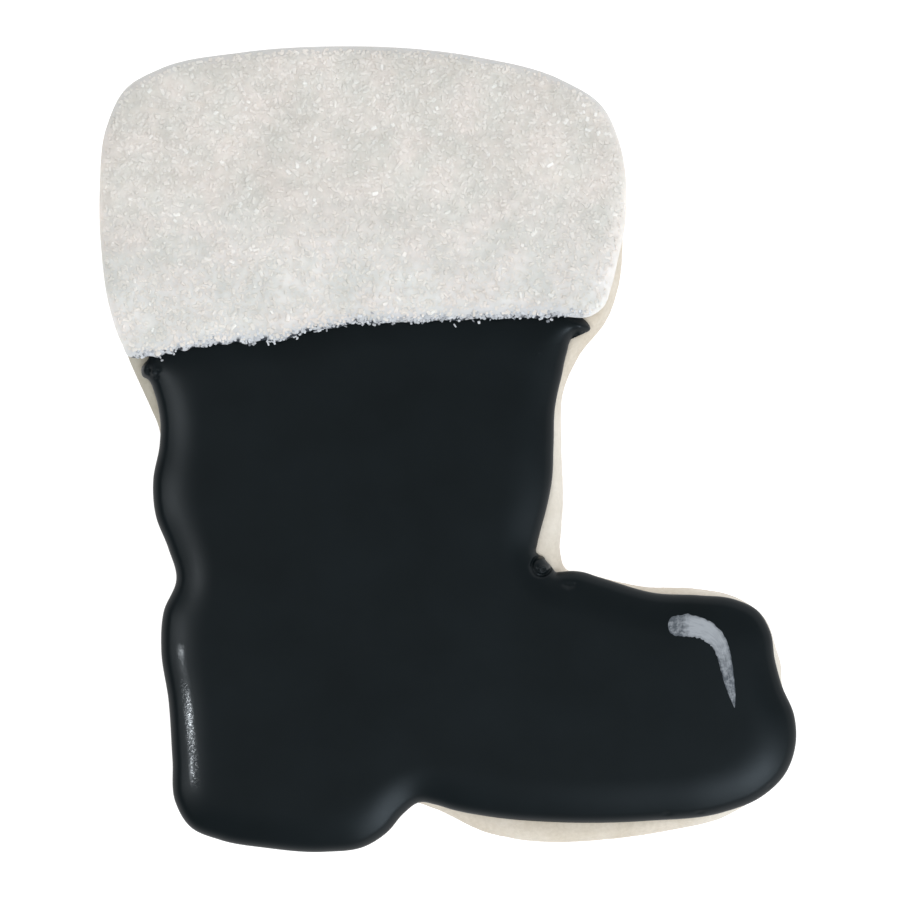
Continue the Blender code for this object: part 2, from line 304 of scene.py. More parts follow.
base_curve = smooth_outline(BASE_RIM)
base_ring, base_in, base_middle = ribbed_ring(base_curve, BASE_RIBS, BASE_COLUMNS, BASE_TIPS)
side_in, side_up = np.array(BASE_SIDE).T
below = len(UNDER_RINGS)
base_rows = np.zeros((below + len(BASE_SIDE) + BASE_FLAT_ROWS, len(base_ring), 3))
side = slice(below, below + len(BASE_SIDE))
base_rows[side, :, :2] = base_ring + base_in * side_in[:, None, None]
base_rows[side, :, 2] = side_up[:, None] * BASE_THICKNESS
under = np.array(UNDER_RINGS)[:, None, None]
base_rows[:below, :, :2] = base_rows[below, :, :2] * (1 - under) + base_middle * under
flat = np.linspace(0, 1, BASE_FLAT_ROWS + 1)[1:, None, None] ** BASE_CROWDING
top_edge = base_rows[side.stop - 1]
base_rows[side.stop :, :, :2] = top_edge[:, :2] * (1 - flat) + base_middle * flat
base_rows[side.stop :, :, 2] = top_edge[0, 2]
crumb = sum(depth * lumps(base_rows, size, CRUMB_SEED + i) for i, (size, depth) in enumerate(CRUMB_SIZES))
crumb *= np.interp(base_rows[..., 2] / BASE_THICKNESS, CRUMB_AT, CRUMB_SHARE)
base_rows[..., :2] += base_in * np.abs(crumb)[..., None]
cookie = closed_shell("baked_base", base_rows)

dough, shader, place = new_finish("baked_dough", 0.78)
patch = noise(place, 6.0, 3.0)
grain = noise(place, 0.5, 4.0, 0.65)
height = place.part(2) * (1 / (BASE_THICKNESS * MM))
crust = (1 - height.ramp(*CRUST_REACH)) * (0.6 + 0.5 * patch)
colour = crust.mix(patch.ramp(0.3, 0.7).mix(*DOUGH_SHADES), CRUST_BROWN)
colour = colour.shaded(grain.ramp(0.35, 0.65).mix(DOUGH_SPECK, (1.0, 1.0, 1.0)), 0.25)
across = place.part(0) * (1 / MM)
upward = place.part(1) * (1 / MM)
# Painted shade on the heel side of the leg, then painted light towards the toe and above the instep.
colour = colour.shaded(PAINTED_SIDE_SHADE, 1 - across.ramp(*SHADED_SIDE))
lit_instep = across.ramp(*LIT_INSTEP_X) * upward.ramp(*LIT_INSTEP_Y) * (1 - upward.ramp(*LIT_INSTEP_END))
colour = (0.3 * lit_instep + 0.35 * across.ramp(*LIT_TOE)).mix(colour, PAINTED_LIGHT_DOUGH)
place.feed(shader.inputs["Base Color"], colour)
pits = place.node("ShaderNodeTexVoronoi", {"feature": "F1"}, Vector=place, Scale=1 / (0.9 * MM))
place.feed(shader.inputs["Normal"], relief(0.6 * grain + 0.4 * pits.ramp(0.0, 0.35), 0.09))
cookie.data.materials.append(dough)
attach(cookie, "root")
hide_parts("cookie_base")

# Black royal icing: piped round the leg and foot, then flooded up to that line, so that it dries with a
# smooth swollen edge. It stops at the seam, which starts in a little blob and ends in a hook.
SEAM = [
    (-37.0, 11.6), (-36.2, 11.4), (-35.4, 11.95), (-34.6, 11.85), (-33.8, 12.4), (-32.9, 12.25),
    (-31.9, 12.75), (-30.6, 12.7), (-29.2, 13.15), (-27.8, 13.05), (-26.5, 13.4), (-25.3, 13.1),
    (-23.3, 13.6), (-21.1, 13.4), (-19.1, 14.15), (-17.1, 14.8), (-13.6, 15.25), (-11.7, 15.8),
    (-9.0, 15.7), (-6.1, 15.85), (-3.6, 15.8), (-1.1, 16.1), (1.4, 16.05), (3.9, 16.35), (6.4, 16.25),
    (8.9, 16.45), (11.4, 16.35), (13.9, 16.55),
]
BOOT_RIM = [
    (16.9, 16.4), (17.4, 15.95), (17.8, 15.05), (16.9, 14.5), (16.1, 14.35), (15.55, 14.0), (15.15, 13.3),
    (14.9, 12.3), (14.55, 10.95), (14.25, 9.35), (13.8, 7.5), (13.4, 5.4), (13.2, 0.6), (13.0, -3.8),
    (12.2, -7.8), (11.6, -10.0), (11.15, -11.9), (11.05, -12.85), (11.45, -13.2), (11.95, -13.4),
    (12.25, -13.9), (12.75, -14.4), (13.15, -14.95), (13.45, -15.28), (14.0, -15.25), (15.7, -15.15),
    (17.1, -15.35), (18.3, -15.75), (20.2, -16.35), (25.8, -17.9), (31.4, -18.2), (35.8, -18.7),
    (38.8, -20.2), (40.3, -22.7), (40.9, -26.3), (41.8, -29.6), (43.3, -33.2), (43.5, -36.9), (42.2, -40.6),
    (39.2, -43.5), (34.2, -45.5), (25.2, -46.5), (13.9, -46.7), (5.2, -46.0), (0.4, -45.1), (-1.6, -44.5),
    (-3.6, -44.2), (-5.5, -45.5), (-7.6, -47.9), (-10.4, -49.7), (-15.4, -50.4), (-22.9, -49.9),
    (-28.6, -48.9), (-32.4, -47.2), (-34.2, -44.2), (-34.6, -38.8), (-35.1, -31.3), (-36.0, -25.1),
    (-35.7, -20.3), (-34.1, -16.1), (-35.1, -12.4), (-36.7, -8.2), (-37.0, -3.8), (-36.2, 0.6),
    (-36.1, 3.1), (-36.5, 5.9), (-36.95, 7.4), (-37.25, 8.2), (-37.65, 8.75), (-38.25, 9.05), (-38.5, 9.7),
    (-38.35, 10.5), (-37.9, 11.0), (-37.6, 11.4),
]
# The ribs from the blob to the toe: the end on the seam and instep side, then on the heel and sole side.
BOOT_RIBS = [
    [(-38.5, 9.9), (-38.5, 9.9)], [(-33.8, 12.4), (-36.8, 6.6)], [(-11.7, 16.0), (-36.1, 2.2)],
    [(17.8, 15.2), (-36.7, -8.2)], [(16.5, 14.4), (-36.0, -10.2)], [(15.4, 13.8), (-35.1, -12.4)],
    [(14.7, 11.7), (-34.1, -16.1)], [(13.2, 0.6), (-35.7, -20.3)], [(12.1, -7.8), (-36.0, -25.1)],
    [(11.1, -11.9), (-35.1, -31.3)], [(11.7, -13.3), (-34.2, -44.2)], [(13.3, -15.15), (-22.9, -49.7)],
    [(15.3, -15.15), (-10.6, -49.6)], [(17.1, -15.3), (-3.6, -44.2)], [(25.8, -17.9), (13.9, -46.6)],
    [(35.8, -18.7), (34.2, -45.3)], [(43.5, -36.9), (43.5, -36.9)],
]
BOOT_COLUMNS, BOOT_TIPS = 440, (1, 15)
# The rows of points from an icing's rim to its middle, and how strongly they crowd towards the rim.
ICING_ROWS, ICING_CROWDING = 60, 2.2
# The icings' floor. Their rims stay this far inside the drawn outlines, and all grains inside the CAD's box.
ICING_FLOOR, RIM_INSET = BASE_THICKNESS + 0.2, 0.04
# The black runs on under the cuff by this much times the root of a sine between two angles.
UNDER_CUFF, UNDER_ANGLES = 2.2, (0.35, np.pi - 0.35)
# The black icing's height above its floor at the rim, then what the piped line and the flooded middle add,
# each with how far in from the rim it levels out. The flood's first rise is the steeper one.
BOOT_WALL, PIPED_RISE, PIPED_WIDTH = 0.25, 0.9, 1.2
FLOOD_RISES = [(0.9, 5.5), (0.2, 14.0)]
# The end of the toe droops: from this point on, in this direction, by this much for each square millimetre.
TOE_FROM, TOE_WAY, TOE_DROOP = (33.5, -37.5), (0.75, -0.66), 0.002
# An icing's edge below its widest line: how far in from the outline, and how far above the icing's floor.
ICING_EDGE = [(1.2, -0.45), (0.55, -0.43), (0.25, -0.32), (0.09, -0.14), (0.03, 0.02), (0.0, 0.15)]
# The gentle waves of the black: height, width and seed, and how far in from the rim they are complete.
BOOT_WAVES, WAVES_FROM_RIM = [(0.035, 13.0, 21), (0.015, 5.0, 22)], 3.0
# Ring pits, each a low rim round a hole: x, y, radius and height, then the rim's width, the hole's depth and
# the hole's width as shares of these.
BOOT_RINGS, RING_SHARES = [(11.8, -15.0, 0.36, 0.16), (-37.5, 9.95, 0.6, 0.2)], (0.45, 1.2, 0.5)
# The ball of icing in the angle of the instep: x, y, radius and height, then its crease's depth and width.
INSTEP_BALL = (11.65, -14.5, 1.2, 0.32, -0.4, 0.17)
# Small bumps and dents: x, y, radius and height, which is below 0 for a dent.
BOOT_DENTS = [
    (14.5, -16.8, 0.32, -0.12), (15.0, -17.0, 0.32, -0.17), (15.6, -16.9, 0.32, -0.12),
    (16.2, -16.1, 1.0, 0.06), (15.0, -17.9, 0.6, 0.05), (27.5, -45.5, 0.25, -0.2),
    (31.4, -45.35, 0.2, -0.14), (40.2, -42.0, 0.2, -0.12), (-37.85, 9.85, 0.28, 0.12),
    (-36.85, 9.5, 0.3, 0.14), (-36.2, 10.0, 0.28, 0.10), (-37.3, 9.35, 0.25, -0.14),
    (-36.5, 9.0, 0.25, -0.12), (-37.0, 10.5, 0.4, 0.12), (16.3, 15.45, 0.8, 0.2),
]
# Points are measured in parts of this many, to spare memory, and a distance squared counts as at least this.
PART_SIZE, LEAST_SQUARE = 4000, 1e-4
# The smooth distance from the rim takes over from the direct one here, over this width.
SMOOTH_FROM, SMOOTH_OVER = 0.25, 0.6
# The black from its darker to its paler patches.
BLACK_SHADES = ((0.0013, 0.0034, 0.0042), (0.0024, 0.0050, 0.0062))
# A line of clear glaze specks on the heel side: its top, its lean in X for each millimetre up, its bottom.
GLAZE_TOP, GLAZE_LEAN, GLAZE_BOTTOM = (-33.7, -23.2), -0.12, -43.6
# Its fading: by the squared distance across it, up from its bottom, and between two depths below its top.
GLAZE_ACROSS, GLAZE_START, GLAZE_FADE = (0.08, 0.7), 2.0, (7.5, 1.0)


def rim_distance(points, curve):
    """How far points are inside an outline, in a smooth measure.

    It is the cube root of pi/2 over the sum, round the whole outline, of each stretch's length divided by
    its distance to the fourth power, which is the true distance beside a straight edge and has no creases
    elsewhere. Close to the edge it becomes the distance to the line along the edge at its nearest point.
    """
    ends = np.vstack([curve, curve[:1]])
    span = np.linalg.norm(np.diff(ends, axis=0), axis=1)
    centre = (ends[1:] + ends[:-1]) / 2
    tangent = np.roll(curve, -1, axis=0) - np.roll(curve, 1, axis=0)
    across = np.stack([-tangent[:, 1], tangent[:, 0]], axis=1)
    across = across / np.linalg.norm(tangent, axis=1, keepdims=True)
    places = points.reshape(-1, 2)
    result = np.empty(len(places))
    for start in range(0, len(places), PART_SIZE):
        part = places[start : start + PART_SIZE]
        square = (part[:, :1] - centre[:, 0]) ** 2 + (part[:, 1:] - centre[:, 1]) ** 2
        total = (span / np.maximum(square, LEAST_SQUARE) ** 2).sum(axis=1)
        smooth = ((2 / np.pi) * total) ** (-1 / 3)
        nearest = ((part[:, :1] - curve[:, 0]) ** 2 + (part[:, 1:] - curve[:, 1]) ** 2).argmin(axis=1)
        direct = np.abs(((part - curve[nearest]) * across[nearest]).sum(axis=1))
        blend = np.clip((smooth - SMOOTH_FROM) / SMOOTH_OVER, 0, 1)
        result[start : start + PART_SIZE] = direct * (1 - blend) + smooth * blend
    return result.reshape(points.shape[:-1])


def swell(distance, wall, thickness, shoulder):
    """Height of an icing above its floor: the wall, then a quarter of an ellipse out to the shoulder."""
    share = np.clip(distance / shoulder, 0, 1)
    return wall + (thickness - wall) * np.sqrt(1 - (1 - share) ** 2)


def icing_shell(name, curve, ribs, columns, tips, height_at):
    """An icing as rings of points: its underside, its edge, then rows that run in to the middle at the
    height that height_at gives for a place and its distance from the rim."""
    ring, inward, middle = ribbed_ring(curve, ribs, columns, tips)
    ring = ring + inward * RIM_INSET
    edge_in, edge_up = np.array(ICING_EDGE).T
    below = len(UNDER_RINGS)
    rows = np.zeros((below + len(ICING_EDGE) + ICING_ROWS + 1, len(ring), 3))
    edge = slice(below, below + len(ICING_EDGE))
    rows[edge, :, :2] = ring + inward * edge_in[:, None, None]
    rows[edge, :, 2] = ICING_FLOOR + edge_up[:, None]
    under = np.array(UNDER_RINGS)[:, None, None]
    rows[:below, :, :2] = rows[below, :, :2] * (1 - under) + middle * under
    rows[:below, :, 2] = rows[below, 0, 2]
    across = np.linspace(0, 1, ICING_ROWS + 1)[:, None, None] ** ICING_CROWDING
    top = ring * (1 - across) + middle * across
    rows[edge.stop :, :, :2] = top
    rows[edge.stop :, :, 2] = ICING_FLOOR + height_at(top, rim_distance(top, curve))
    return closed_shell(name, rows)


def waves(place, kinds):
    """Gentle waves over the plane: the sum of several kinds of lumps, each a height, a width and a seed."""
    flat_place = np.concatenate([place, np.zeros(place.shape[:-1] + (1,))], axis=-1)
    return sum(height * lumps(flat_place, width, seed) for height, width, seed in kinds)


def boot_height(place, distance):
    """The black icing's height: a quarter of an ellipse over the piped line, parabolas over the flooded
    part, the droop of the toe and slow waves, then the bumps and dents, the ball, and the ring pits, each a
    bell curve of the distance from its middle or from its ring."""
    height = swell(distance, BOOT_WALL, BOOT_WALL + PIPED_RISE, PIPED_WIDTH)
    for rise, width in FLOOD_RISES:
        height += rise * (1 - (1 - np.clip(distance / width, 0, 1)) ** 2)
    beyond = (place[..., 0] - TOE_FROM[0]) * TOE_WAY[0] + (place[..., 1] - TOE_FROM[1]) * TOE_WAY[1]
    height -= TOE_DROOP * np.maximum(beyond, 0) ** 2
    height += waves(place, BOOT_WAVES) * np.clip(distance / WAVES_FROM_RIM, 0, 1)
    for x, y, radius, lift in BOOT_DENTS:
        away = np.hypot(place[..., 0] - x, place[..., 1] - y)
        height += lift * np.exp(-((away / radius) ** 2))
    x, y, radius, lift, crease, crease_width = INSTEP_BALL
    away = np.hypot(place[..., 0] - x, place[..., 1] - y)
    height += lift * np.exp(-((away / (0.8 * radius)) ** 4))
    height += crease * np.exp(-(((away - radius) / crease_width) ** 2))
    rim_width, hole_depth, hole_width = RING_SHARES
    for x, y, radius, lift in BOOT_RINGS:
        away = np.hypot(place[..., 0] - x, place[..., 1] - y)
        height += lift * np.exp(-(((away - radius) / (rim_width * radius)) ** 2))
        height -= hole_depth * lift * np.exp(-((away / (hole_width * radius)) ** 2))
    return height


hidden = UNDER_CUFF * np.sqrt(np.sin(np.linspace(*UNDER_ANGLES, len(SEAM))))
boot_curve = smooth_outline([(x, y + lap) for (x, y), lap in zip(SEAM, hidden)] + BOOT_RIM)
boot = icing_shell("black_flood", boot_curve, BOOT_RIBS, BOOT_COLUMNS, BOOT_TIPS, boot_height)

black, shader, place = new_finish("black_royal_icing", 0.36)
shader.inputs["Specular IOR Level"].default_value = 0.25
place.feed(shader.inputs["Base Color"], noise(place, 9.0, 2.0).ramp(0.3, 0.7).mix(*BLACK_SHADES))
across = place.part(0) * (1 / MM)
upward = place.part(1) * (1 / MM)
off_line = across - (GLAZE_TOP[0] + (upward - GLAZE_TOP[1]) * GLAZE_LEAN)
glaze = 1 - (off_line * off_line).ramp(*GLAZE_ACROSS)
glaze = glaze * upward.ramp(GLAZE_BOTTOM, GLAZE_BOTTOM + GLAZE_START)
glaze = glaze * (1 - upward.ramp(GLAZE_TOP[1] - GLAZE_FADE[0], GLAZE_TOP[1] - GLAZE_FADE[1]))
specks = noise(place, 0.26, 1.0, 0.5).ramp(0.45, 0.60)
place.feed(shader.inputs["Coat Weight"], glaze * (0.22 + 0.78 * specks))
shader.inputs["Coat Roughness"].default_value = 0.11
shader.inputs["Coat IOR"].default_value = 1.9
place.feed(shader.inputs["Roughness"], 0.32 + 0.04 * noise(place, 0.6, 2.0))
skin = 0.04 * noise(place, 0.3, 1.0, 0.5) + 0.04 * noise(place, 1.4, 2.0)
place.feed(shader.inputs["Normal"], relief(skin, 0.06))
boot.data.materials.append(black)
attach(boot, "root")
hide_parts("black_icing")

# White cuff: royal icing flooded thick across the top of the boot, its lower edge lapping over the black.
# It stands a little higher than the black, with a soft round edge all the way round.
CUFF_RIM = [
    (17.9, 16.7), (19.3, 17.7), (20.4, 20.4), (21.2, 23.7), (22.1, 28.1), (22.2, 33.7), (21.2, 38.9),
    (19.2, 42.9), (14.3, 46.1), (3.9, 49.0), (-2.3, 49.9), (-13.6, 50.4), (-26.1, 49.6), (-36.1, 47.55),
    (-40.3, 45.1), (-42.7, 40.4), (-43.6, 32.4), (-43.4, 24.9), (-42.4, 17.9), (-40.8, 13.2), (-39.8, 11.5),
    (-38.3, 11.5),
]
# The ribs from the left end of the cuff to its right end: the end on the seam, then on the top rim.
CUFF_RIBS = [
    [(-43.6, 31.0), (-43.6, 31.0)], [(-25.3, 13.1), (-26.1, 49.8)], [(-13.6, 15.4), (-13.6, 50.4)],
    [(6.4, 16.5), (3.9, 49.2)], [(22.2, 33.0), (22.2, 33.0)],
]
CUFF_COLUMNS, CUFF_TIPS = 400, (1, 3)
CUFF_WALL, CUFF_THICKNESS, CUFF_SHOULDER = 1.6, 2.85, 2.8
# Along the seam the cuff's edge stands on the black icing, so its wall starts higher there.
SEAM_WALL, SEAM_REACH = 1.95, (17.5, 21.0)
# The lumps that the sugar leaves in the icing: height, width and seed, complete this far in from the rim.
CUFF_WAVES, LUMPS_FROM_RIM = [(0.05, 7.0, 31), (0.035, 2.2, 32), (0.03, 0.9, 33)], 1.0
# The bare icing above the seam, and the icing under the thick sugar, which is warmer in colour and also
# painted a little darker as shade towards the top of the cuff: from Y to Y.
BARE_WHITE, SUGARED_SHADED_WHITE, SUGARED_REACH = (0.85, 0.84, 0.815), (0.832, 0.794, 0.742), (24.0, 38.0)
# The top rim is bare of sugar and painted greyer as shade, as its rounded edge faces away from the light:
# the grey fades between these distances in, and sets in from Y to Y.
RIM_SHADE_GREY, RIM_FADE, RIM_REACH = (0.55, 0.54, 0.53), (0.2, 1.5), (34.0, 46.0)
# The white is greyer along its lower edge, between these heights above the seam: partly the black showing a
# little through the thin icing, partly painted shade where the edge rounds down beside the black.
SEAM_SHADE_GREY, SEAM_SHADE_REACH = (0.55, 0.555, 0.575), (0.4, 2.6)
# At its very edge it is so thin that the black shows right through between the grains, within this height.
GAP_GREY, LACE_DEPTH = (0.035, 0.04, 0.05), 0.75
# The cuff's soft patches: how wide they are, and the factors on its colour between which they vary.
PATCHES = [
    (4.5, (0.975, 0.963, 0.942), (1.0, 0.953, 0.932)), (9.0, (0.89, 0.89, 0.885), (1.0, 1.0, 1.0)),
    (1.2, (0.90, 0.90, 0.895), (1.0, 1.0, 1.0)),
]


def cuff_height(place, distance):
    """The cuff's height: its swell, with the lumps that the sugar leaves in soft icing."""
    wall = np.interp(place[..., 1], SEAM_REACH, (SEAM_WALL, CUFF_WALL))
    height = swell(distance, wall, CUFF_THICKNESS, CUFF_SHOULDER)
    return height + waves(place, CUFF_WAVES) * np.clip(distance / LUMPS_FROM_RIM, 0, 1)


cuff_curve = smooth_outline(SEAM + CUFF_RIM)
cuff = icing_shell("white_cuff", cuff_curve, CUFF_RIBS, CUFF_COLUMNS, CUFF_TIPS, cuff_height)
corners = np.empty(len(cuff.data.vertices) * 3)
cuff.data.vertices.foreach_get("co", corners)
corners = corners.reshape(-1, 3) / MM
seam_x, seam_y = np.array([(-50.0, 9.0)] + SEAM + [(20.0, 14.0)]).T
above = corners[:, 1] - np.interp(corners[:, 0], seam_x, seam_y)
cuff.data.attributes.new("above_seam", "FLOAT", "POINT").data.foreach_set("value", above)
from_rim = rim_distance(corners[:, :2], cuff_curve)
cuff.data.attributes.new("from_rim", "FLOAT", "POINT").data.foreach_set("value", from_rim)


def mottled(place, colour):
    """The colour with the cuff's soft patches: greyish to pinkish, and two sizes of lighter and darker."""
    for size, low, high in PATCHES:
        colour = colour.shaded(noise(place, size, 2.0).ramp(0.35, 0.65).mix(low, high))
    return colour


white, shader, place = new_finish("white_royal_icing", 0.55)
shader.inputs["Subsurface Weight"].default_value = 0.6
shader.inputs["Subsurface Radius"].default_value = (1.0, 0.9, 0.8)
shader.inputs["Subsurface Scale"].default_value = 0.5 * MM
upward = place.part(1) * (1 / MM)
# The upper cuff is warmer and darker: partly the sugared icing's own colour, partly painted shade.
sugared_and_shaded = (upward + 8.0 * noise(place, 7.0, 2.0)).ramp(*SUGARED_REACH)
colour = mottled(place, sugared_and_shaded.mix(BARE_WHITE, SUGARED_SHADED_WHITE))
from_rim = place.node("ShaderNodeAttribute", {"attribute_name": "from_rim"}, output=2)
# Painted shade along the cuff's top rim.
painted_rim_shade = (1 - from_rim.ramp(*RIM_FADE)) * upward.ramp(*RIM_REACH) * 0.75
colour = painted_rim_shade.mix(colour, RIM_SHADE_GREY)
above = place.node("ShaderNodeAttribute", {"attribute_name": "above_seam"}, output=2)
# Painted shade, with a little of the black showing through, along the cuff's lower edge.
seam_shade = (1 - (above + 0.8 * noise(place, 1.6, 2.0)).ramp(*SEAM_SHADE_REACH)) * 0.85
colour = seam_shade.mix(colour, SEAM_SHADE_GREY)
gaps = noise(place, 0.6, 2.0, 0.5).ramp(0.38, 0.62)
lace = 1 - (above + LACE_DEPTH * gaps).ramp(0.5 * LACE_DEPTH, LACE_DEPTH)
place.feed(shader.inputs["Base Color"], lace.mix(colour, GAP_GREY))
place.feed(shader.inputs["Normal"], relief(noise(place, 0.35, 3.0, 0.6), 0.014))
cuff.data.materials.append(white)
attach(cuff, "root")
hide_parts("cuff_icing")

# Coarse sugar: clear six-sided crystals, half a millimetre to a millimetre long, shaken over the cuff while
# it was wet. They lie nearly flat and half sunk, thick over the upper part and thinner at the lower right.
# The seed, the grid's step, the share of it by which grains are moved, and how far they keep from the rim.
CRYSTAL_SEED, CRYSTAL_SPACING, GRAIN_SHAKE, GRAIN_MARGIN = 41, 0.95, 0.42, 0.5
# Their lengths, the beta curve that makes most of them short, their widths, and a depth's share of a width.
CRYSTAL_LENGTHS, CRYSTAL_LEAN = (0.42, 1.05), (1.6, 2.4)
CRYSTAL_WIDTHS, CRYSTAL_FLATNESS = (0.34, 0.58), 0.55
# How far above the icing a crystal's middle lies, for each millimetre of its width or depth, whichever is
# less, and how unevenly grains tilt and roll.
CRYSTAL_SINK, CRYSTAL_TILT, GRAIN_ROLL = -0.17, 0.07, 0.12
# Grains are fewer below a Y, over so many millimetres, and right of an X: the shares kept low down and
# high up, and the height, width and seed of the patches in them.
THIN_DOWN, THIN_RIGHT, THIN_LEAST = (30.0, 14.0), (-30.0, 40.0), 0.35
CRYSTALS_KEPT, KEPT_PATCHES = (0.45, 0.95), [(0.18, 4.0, 44)]
# Grains caught along the seam: how many, how far above it, their spread and sizes, the shares of width and
# depth, how far they keep from the seam's ends, and the steepest slope they follow.
SEAM_GRAINS, SEAM_LIFT, SEAM_SPREAD, SEAM_SIZES = 340, 0.40, 0.28, (0.22, 0.6)
SEAM_SHAPE, SEAM_ENDS, STEEPEST = (1.0, 0.7, 0.5), (0.6, 0.3), 0.8
# Grains spilled on the black below the seam: how many, how far down, and where along it.
SPILLED_GRAINS, SPILL_DOWN, SPILL_STRETCH, SPILL_SHIFT = 3, (0.4, 0.8), (0.85, 1.0), (2.0, 0.0)
# The least tone of a caught grain on the white and on the black. The colours of sunken grains, of bright
# ones, which are partly whiter crystals and partly painted glints, and of caught ones from the glassiest to
# the whitest.
LEAST_TONES, SUNKEN = (0.45, 0.05), ((0.82, 0.786, 0.738), (0.86, 0.826, 0.782))
BRIGHT_GLINT_WHITE, CAUGHT = (0.97, 0.96, 0.93), ((0.16, 0.17, 0.19), (0.72, 0.725, 0.74))
# One crystal: a six-sided profile of half width 1, and the places along its half length with their width.
CRYSTAL_PROFILE = [(1.0, 0.35), (0.5, 1.0), (-0.75, 0.9), (-1.0, -0.35), (-0.5, -1.0), (0.75, -0.9)]
CRYSTAL_STATIONS = [(-1.0, 0.62), (-0.74, 1.0), (0.78, 1.0), (1.0, 0.55)]


def prism(profile, stations):
    """Points and faces of a profile carried along a straight path, wider or narrower at each station."""
    ring = np.array(profile)
    rings = [np.column_stack([np.full(len(ring), x), ring * width]) for x, width in stations]
    points = np.concatenate(rings)
    sides = len(ring)
    faces = [
        (k * sides + i, k * sides + (i + 1) % sides, (k + 1) * sides + (i + 1) % sides, (k + 1) * sides + i)
        for k in range(len(stations) - 1) for i in range(sides)
    ]
    last = (len(stations) - 1) * sides
    return points, faces, [tuple(range(sides))[::-1], tuple(range(last, last + sides))]


def inside(points, curve):
    """Whether each point is inside the outline: a ray towards +X crosses it an odd number of times."""
    x0, y0 = curve.T
    x1, y1 = np.roll(curve, -1, axis=0).T
    crossed = np.zeros(len(points), bool)
    for start in range(0, len(points), PART_SIZE):
        x, y = points[start : start + PART_SIZE].T[:, :, None]
        spans = (y0 > y) != (y1 > y)
        reach = x0 + (y - y0) / np.where(y1 == y0, 1e-9, y1 - y0) * (x1 - x0)
        crossed[start : start + PART_SIZE] = (spans & (x < reach)).sum(axis=1) % 2 == 1
    return crossed


def nearest_edge(points, curve):
    """The nearest point of an outline to each point."""
    nearest = np.empty(len(points), int)
    for start in range(0, len(points), PART_SIZE):
        part = points[start : start + PART_SIZE]
        nearest[start : start + PART_SIZE] = np.linalg.norm(part[:, None] - curve, axis=2).argmin(axis=1)
    return curve[nearest]


def strewn(curve, spacing, margin, seed):
    """Places for grains: a grid with every second row shifted, each point moved at random, kept inside."""
    random = np.random.default_rng(seed)
    low, high = curve.min(axis=0), curve.max(axis=0)
    columns, rows = ((high - low) / spacing).astype(int) + 2
    i, j = np.meshgrid(np.arange(columns), np.arange(rows))
    grid = np.stack([i + 0.5 * (j % 2), j * 1.0], axis=-1).reshape(-1, 2)
    grid = low + (grid + random.uniform(-GRAIN_SHAKE, GRAIN_SHAKE, grid.shape)) * spacing
    grid = grid[inside(grid, curve)]
    return grid[np.linalg.norm(grid - nearest_edge(grid, curve), axis=1) > margin], random


def grain_mesh(name, template, centres, sizes, slopes, tones, random, tilt):
    """All grains of one kind as one mesh: each is the template, scaled, turned and moved.

    A grain's length points in a random direction round the vertical, lifted by a random tilt and by the
    slope it lies on, and it is rolled a little about its length. Its tone is a point attribute: from 0 to 1
    on the cuff, and from 1 to 2 for a grain caught along the seam.
    """
    points, sides, caps = template
    count = len(centres)
    heading = random.uniform(0, 2 * np.pi, count)
    lift = random.normal(0, tilt, count) + slopes[:, 0] * np.cos(heading) + slopes[:, 1] * np.sin(heading)
    roll = random.normal(0, GRAIN_ROLL, count)
    length_way = np.stack(
        [np.cos(lift) * np.cos(heading), np.cos(lift) * np.sin(heading), np.sin(lift)], axis=1
    )
    level = np.stack([-np.sin(heading), np.cos(heading), np.zeros(count)], axis=1)
    upright = np.cross(length_way, level)
    wide_way = level * np.cos(roll)[:, None] + upright * np.sin(roll)[:, None]
    deep_way = np.cross(length_way, wide_way)
    turned = np.stack([length_way, wide_way, deep_way], axis=1)
    placed = np.einsum("pk,gk,gkx->gpx", points, sizes / 2, turned) + centres[:, None]
    placed = np.clip(placed, np.array(cad_box[0]) / MM + RIM_INSET, np.array(cad_box[1]) / MM - RIM_INSET)
    mesh = bpy.data.meshes.new(name)
    faces = []
    for face in [*sides, *caps]:
        faces.extend((np.array(face) + np.arange(count)[:, None] * len(points)).tolist())
    mesh.from_pydata((placed.reshape(-1, 3) * MM).tolist(), [], faces)
    tone = mesh.attributes.new("tone", "FLOAT", "POINT")
    tone.data.foreach_set("value", np.repeat(tones, len(points)))
    return scene_object(name, mesh)


def on_cuff(points, step=0.2):
    """The cuff's height under each point, and its slope there from its rise over a step in X and in Y."""
    def surface(moved):
        return ICING_FLOOR + cuff_height(moved, rim_distance(moved, cuff_curve))

    height = surface(points)
    rises = [surface(points + (step, 0)) - height, surface(points + (0, step)) - height]
    return height, np.stack(rises, axis=1) / step


def thinned(points, random, keep_low, keep_high):
    """Drops grains at random: the share kept falls towards the cuff's bottom and its lower right corner."""
    fall = np.clip((THIN_DOWN[0] - points[:, 1]) / THIN_DOWN[1], 0, 1)
    fall *= np.clip((points[:, 0] - THIN_RIGHT[0]) / THIN_RIGHT[1], THIN_LEAST, 1)
    kept = keep_high + (keep_low - keep_high) * fall + waves(points, KEPT_PATCHES)
    return points[random.uniform(0, 1, len(points)) < kept]


def along_seam(count, lift, spread, random):
    """Places at random along the cuff's lower edge, moved off it by a normally spread distance."""
    line = np.array(CUFF_RIM[-2:] + SEAM + CUFF_RIM[:1])
    x = random.uniform(line[0, 0] + SEAM_ENDS[0], line[-1, 0] - SEAM_ENDS[1], count)
    return np.column_stack([x, np.interp(x, line[:, 0], line[:, 1]) + random.normal(lift, spread, count)])


crystal_at, random = strewn(cuff_curve, CRYSTAL_SPACING, GRAIN_MARGIN, CRYSTAL_SEED)
crystal_at = thinned(crystal_at, random, *CRYSTALS_KEPT)
height, slopes = on_cuff(crystal_at)
shortest, longest = CRYSTAL_LENGTHS
long = shortest + (longest - shortest) * random.beta(*CRYSTAL_LEAN, len(crystal_at))
wide = random.uniform(*CRYSTAL_WIDTHS, (len(crystal_at), 2)) * (1.0, CRYSTAL_FLATNESS)

